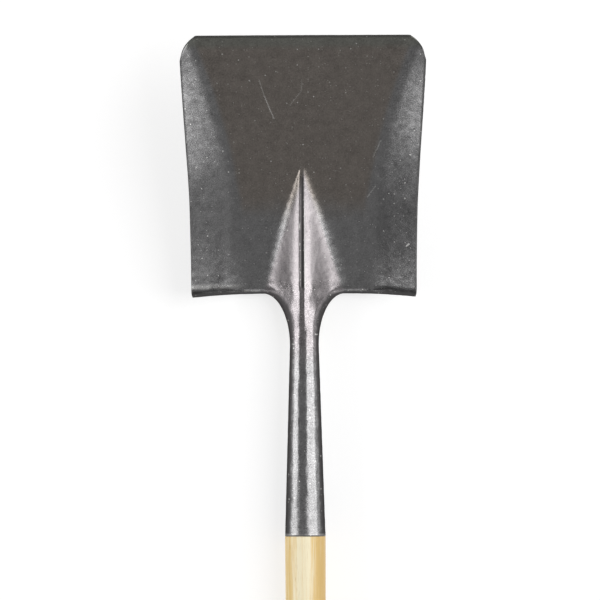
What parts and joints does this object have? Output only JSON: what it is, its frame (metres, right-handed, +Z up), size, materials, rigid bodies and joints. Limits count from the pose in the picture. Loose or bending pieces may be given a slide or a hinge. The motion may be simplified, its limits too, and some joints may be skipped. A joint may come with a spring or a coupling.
{
  "type": "square point shovel",
  "caption": "Long handled square point shovel: a dished steel blade with a hollow ridge and a rolled socket, riveted to a straight ash handle.",
  "frame": {"origin": "under the middle of the shovel's box, on the surface it lies on", "axes": "+Y along the handle towards the lip of the blade, +Z up out of the face of the blade, +X across it to the right"},
  "size_m": [0.2394, 1.435, 0.1128],
  "materials": {
    "blade_steel": "dark mill finish under clear lacquer, satin",
    "ash_wood": "lacquered, satin",
    "rivet_steel": "ground flush at the front, hammered at the back",
    "washer_steel": "satin"
  },
  "bodies": {
    "root": {"blade_and_socket": "blade_steel", "handle": "ash_wood", "socket_rivet": "rivet_steel", "rivet_washer": "washer_steel"}
  },
  "joints": []
}
